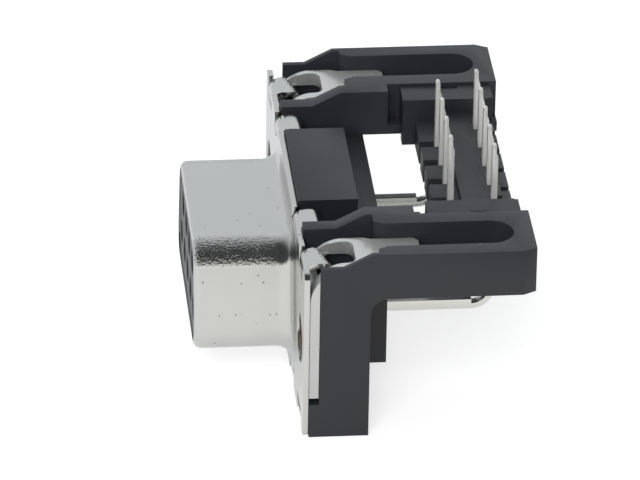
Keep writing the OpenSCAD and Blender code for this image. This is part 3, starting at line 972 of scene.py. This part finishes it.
@dataclass
class ContactMouths:
    """The rolled mouths of the nine contact barrels, repeated by one node tree.

    Each of the rows is its count, its first X in pitches and its Z in row gaps.
    """

    pitch: float = 2.77
    row_gap: float = 2.84
    front: float = -5.68
    radius: float = 0.685
    wire: float = 0.08
    rows: tuple[tuple[int, float, float], ...] = ((5, -2.0, -0.5), (4, -1.5, 0.5))

    def tree(self, finish: bpy.types.Material) -> bpy.types.GeometryNodeTree:
        """Builds the node tree that rolls one mouth and repeats it along both rows.

        Args:
            finish: material of the mouths.

        Returns:
            The node tree, with a named input for each size.
        """
        group = bpy.data.node_groups.new("contact_mouths", "GeometryNodeTree")
        for name, value in self.sizes().items():
            socket = group.interface.new_socket(name, in_out="INPUT", socket_type="NodeSocketFloat")
            socket.default_value = value
        group.interface.new_socket("Geometry", in_out="OUTPUT", socket_type="NodeSocketGeometry")
        sheet = NodeSheet(group)
        given = sheet.add("NodeGroupInput")
        rows = sheet.add("GeometryNodeJoinGeometry")
        for count, first, level in self.rows:
            start = sheet.add("ShaderNodeCombineXYZ")
            for name, source, factor in (("X", "Pitch", first), ("Z", "Row gap", level)):
                part = sheet.add("ShaderNodeMath", operation="MULTIPLY")
                part.inputs[1].default_value = factor
                sheet.link(given.outputs[source], part.inputs[0])
                sheet.link(part.outputs[0], start.inputs[name])
            sheet.link(given.outputs["Front"], start.inputs["Y"])
            step = sheet.add("ShaderNodeCombineXYZ")
            sheet.link(given.outputs["Pitch"], step.inputs["X"])
            row = sheet.add("GeometryNodeMeshLine", Count=count)
            sheet.link(start.outputs[0], row.inputs["Start Location"])
            sheet.link(step.outputs[0], row.inputs["Offset"])
            sheet.link(row.outputs["Mesh"], rows.inputs["Geometry"])
        ring = sheet.add("GeometryNodeCurvePrimitiveCircle", Resolution=40)
        wire = sheet.add("GeometryNodeCurvePrimitiveCircle", Resolution=10)
        sheet.link(given.outputs["Radius"], ring.inputs["Radius"])
        sheet.link(given.outputs["Wire"], wire.inputs["Radius"])
        roll = sheet.add("GeometryNodeCurveToMesh")
        sheet.link(ring.outputs["Curve"], roll.inputs["Curve"])
        sheet.link(wire.outputs["Curve"], roll.inputs["Profile Curve"])
        spread = sheet.add("GeometryNodeInstanceOnPoints")
        spread.inputs["Rotation"].default_value = (math.pi / 2, 0, 0)
        real = sheet.add("GeometryNodeRealizeInstances")
        paint = sheet.add("GeometryNodeSetMaterial")
        paint.inputs["Material"].default_value = finish
        out = sheet.add("NodeGroupOutput")
        sheet.link(rows.outputs[0], spread.inputs["Points"])
        sheet.link(roll.outputs["Mesh"], spread.inputs["Instance"])
        sheet.link(spread.outputs[0], real.inputs[0])
        sheet.link(real.outputs[0], paint.inputs["Geometry"])
        sheet.link(paint.outputs[0], out.inputs[0])
        return group

    def sizes(self) -> dict[str, float]:
        """The sizes that the node tree takes.

        Returns:
            The tree's inputs by name, in metres.
        """
        return {
            "Pitch": self.pitch * MM,
            "Row gap": self.row_gap * MM,
            "Front": self.front * MM,
            "Radius": self.radius * MM,
            "Wire": self.wire * MM,
        }

    def build(self, finish: bpy.types.Material) -> None:
        """Builds the nine mouths as one mesh.

        Args:
            finish: material of the mouths.
        """
        thing = bpy.data.objects.new("contact_mouths", bpy.data.meshes.new("contact_mouths"))
        group = self.tree(finish)
        rows = thing.modifiers.new("rows", "NODES")
        rows.node_group = group
        names = {item.name: item.identifier for item in group.interface.items_tree if item.in_out == "INPUT"}
        for name, value in self.sizes().items():
            rows[names[name]] = value
        bpy.context.scene.collection.objects.link(thing)
        bpy.context.view_layer.update()
        whole = bake(thing)
        for face in whole.data.polygons:
            face.use_smooth = True
        mount_piece(whole, finish, "contact_tin")


# ---------------------------------------------------------------- studio


@dataclass
class Studio:
    """A white table in a room that is pale behind the connector and dark on the near side."""

    floor_z: float = -6.25
    room: float = 0.74
    sky: Colour = (0.96, 1.0, 1.02)
    dark: float = 0.06
    dark_from: float = -0.8
    dark_to: float = 0.15
    floor_albedo: float = 0.5
    floor_lift: float = 0.72
    floor_shine: float = 0.48
    near_tint: Colour = (1.0, 0.985, 0.945)
    far_tint: Colour = (0.8, 0.84, 0.88)
    tint_from: float = -4.0
    tint_to: float = 16.0
    floor_half: float = 3000.0
    aim: Point3 = (0.0, 4.0, 0.0)

    def table(self) -> bpy.types.Material:
        """A matt white material that the eye and the reflections see lifted by a glow.

        The glow in reflections is cooler towards -X.

        Returns:
            The material.
        """
        material = bpy.data.materials.new("white_table")
        material.use_nodes = True
        sheet = NodeSheet(material.node_tree)
        path = sheet.add("ShaderNodeLightPath")
        matt = sheet.add("ShaderNodeBsdfDiffuse")
        matt.inputs["Color"].default_value = (self.floor_albedo,) * 3 + (1,)
        both = sheet.add("ShaderNodeAddShader")
        whole = sheet.add("ShaderNodeAddShader")
        out = sheet.add("ShaderNodeOutputMaterial")
        place = sheet.add("ShaderNodeTexCoord")
        split = sheet.add("ShaderNodeSeparateXYZ")
        side = sheet.add("ShaderNodeMapRange", interpolation_type="SMOOTHSTEP")
        side.inputs["From Min"].default_value = self.tint_from * MM
        side.inputs["From Max"].default_value = self.tint_to * MM
        tint = sheet.add("ShaderNodeMix", data_type="RGBA")
        tint.inputs[6].default_value = self.far_tint + (1,)
        tint.inputs[7].default_value = self.near_tint + (1,)
        sheet.link(place.outputs["Object"], split.inputs[0])
        sheet.link(split.outputs["X"], side.inputs["Value"])
        sheet.link(side.outputs["Result"], tint.inputs[0])
        for k, (ray, level) in enumerate(
            (("Is Camera Ray", self.floor_lift), ("Is Glossy Ray", self.floor_shine))
        ):
            glow = sheet.add("ShaderNodeEmission")
            if ray == "Is Glossy Ray":
                sheet.link(tint.outputs[2], glow.inputs["Color"])
            gain = sheet.add("ShaderNodeMath", operation="MULTIPLY")
            gain.inputs[1].default_value = level
            sheet.link(path.outputs[ray], gain.inputs[0])
            sheet.link(gain.outputs[0], glow.inputs["Strength"])
            sheet.link(glow.outputs[0], both.inputs[k])
        sheet.link(matt.outputs[0], whole.inputs[0])
        sheet.link(both.outputs[0], whole.inputs[1])
        sheet.link(whole.outputs[0], out.inputs["Surface"])
        return material

    def floor(self) -> None:
        """Lays the table top."""
        size, z = self.floor_half, self.floor_z
        corners = [(-size, -size, z), (size, -size, z), (size, size, z), (-size, size, z)]
        floor = put_mesh("floor", corners, [[0, 1, 2, 3]])
        floor.data.materials.append(self.table())

    def world(self) -> None:
        """Surrounds the scene: white for the eye, bright behind and dark before the object."""
        world = bpy.data.worlds.new("surround")
        bpy.context.scene.world = world
        world.use_nodes = True
        sheet = NodeSheet(world.node_tree)
        path = sheet.add("ShaderNodeLightPath")
        place = sheet.add("ShaderNodeTexCoord")
        split = sheet.add("ShaderNodeSeparateXYZ")
        side = sheet.add("ShaderNodeMapRange", interpolation_type="SMOOTHSTEP")
        side.inputs["From Min"].default_value = self.dark_from
        side.inputs["From Max"].default_value = self.dark_to
        shade = sheet.add("ShaderNodeMix", data_type="RGBA")
        shade.inputs[6].default_value = tuple(c * self.room for c in self.sky) + (1.0,)
        shade.inputs[7].default_value = tuple(c * self.dark for c in self.sky) + (1.0,)
        seen = sheet.add("ShaderNodeMix", data_type="RGBA")
        seen.inputs[7].default_value = (1.0, 1.0, 1.0, 1.0)
        back = sheet.add("ShaderNodeBackground")
        out = sheet.add("ShaderNodeOutputWorld")
        sheet.link(place.outputs["Generated"], split.inputs[0])
        sheet.link(split.outputs["X"], side.inputs["Value"])
        sheet.link(side.outputs["Result"], shade.inputs[0])
        sheet.link(shade.outputs[2], seen.inputs[6])
        sheet.link(path.outputs["Is Camera Ray"], seen.inputs[0])
        sheet.link(seen.outputs[2], back.inputs["Color"])
        sheet.link(back.outputs["Background"], out.inputs["Surface"])

    def lamp(self, name: str, place: Point3, size: float, power: float) -> None:
        """Hangs a soft square lamp that faces the connector and that shiny surfaces don't show.

        Args:
            name: the lamp's name.
            place: position in millimetres.
            size: side of the lamp in millimetres.
            power: power in watts.
        """
        light = bpy.data.lights.new(name, "AREA")
        light.shape = "SQUARE"
        light.size = size * MM
        light.energy = power
        thing = bpy.data.objects.new(name, light)
        thing.visible_glossy = False
        spot = Vector(place) * MM
        thing.location = spot
        thing.rotation_euler = (Vector(self.aim) * MM - spot).to_track_quat("-Z", "Y").to_euler()
        bpy.context.scene.collection.objects.link(thing)

    def build(self) -> None:
        """Builds floor, surround and lamps."""
        self.floor()
        self.world()
        self.lamp("top_lamp", (-60, -80, 480), size=520, power=1.1)
        self.lamp("front_fill", (380, -120, 300), size=260, power=1.6)


@dataclass
class Viewpoint:
    """The camera: a long lens that looks at the connector from its right-hand end."""

    azimuth: float = 84.383
    elevation: float = 28.461
    roll: float = 0.968
    distance: float = 454.869
    sensor: float = 36.0
    lens: float = 368.7795
    side_step: float = 2.599
    lift: float = 0.568
    forward: float = -0.1

    def build(self) -> None:
        """Places the camera."""
        a, e, r = (math.radians(v) for v in (self.azimuth, self.elevation, self.roll))
        back = Vector((math.sin(a) * math.cos(e), -math.cos(a) * math.cos(e), math.sin(e)))
        level = (-back).cross(Vector((0, 0, 1))).normalized()
        rise = level.cross(-back)
        right = math.cos(r) * level + math.sin(r) * rise
        up = -math.sin(r) * level + math.cos(r) * rise
        place = back * self.distance + right * self.side_step + up * self.lift + Vector((0, self.forward, 0))
        data = bpy.data.cameras.new("camera")
        data.lens = self.lens
        data.sensor_width = self.sensor
        data.clip_start = 0.01
        data.clip_end = 10
        camera = bpy.data.objects.new("camera", data)
        turn = Matrix((right, up, back)).transposed().to_4x4()
        camera.matrix_world = Matrix.Translation(place * MM) @ turn
        bpy.context.scene.collection.objects.link(camera)
        bpy.context.scene.camera = camera


def main() -> None:
    """Builds the connector, its studio and its camera."""
    logging.basicConfig(level=logging.INFO, format="%(message)s")
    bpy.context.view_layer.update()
    bpy.context.scene.view_settings.view_transform = "Standard"
    Viewpoint().build()
    finishes = Finishes.build()
    DrawnShell().build(finishes)
    housing = DressedBody(finishes.housing, "housing_plastic", width=0.10)
    housing.build("bracket", "tail_comb")
    insulators = DressedBody(finishes.insulator, "insulator_plastic", width=0.08)
    insulators.build("front_insulator", "rear_insulator")
    straps = DressedBody(finishes.strap, "strap_tin", width=0.06)
    straps.build("ground_strap_left", "ground_strap_right")
    inserts = DressedBody(finishes.brass, "insert_brass", width=0.05)
    inserts.build("threaded_insert_left", "threaded_insert_right")
    contacts = DressedBody(finishes.contact, "contact_tin", width=0.2, segments=5)
    contacts.build(*(f"contact_{i}" for i in range(1, 10)))
    ContactMouths().build(finishes.contact)
    Studio().build()


if __name__ == "__main__":
    main()
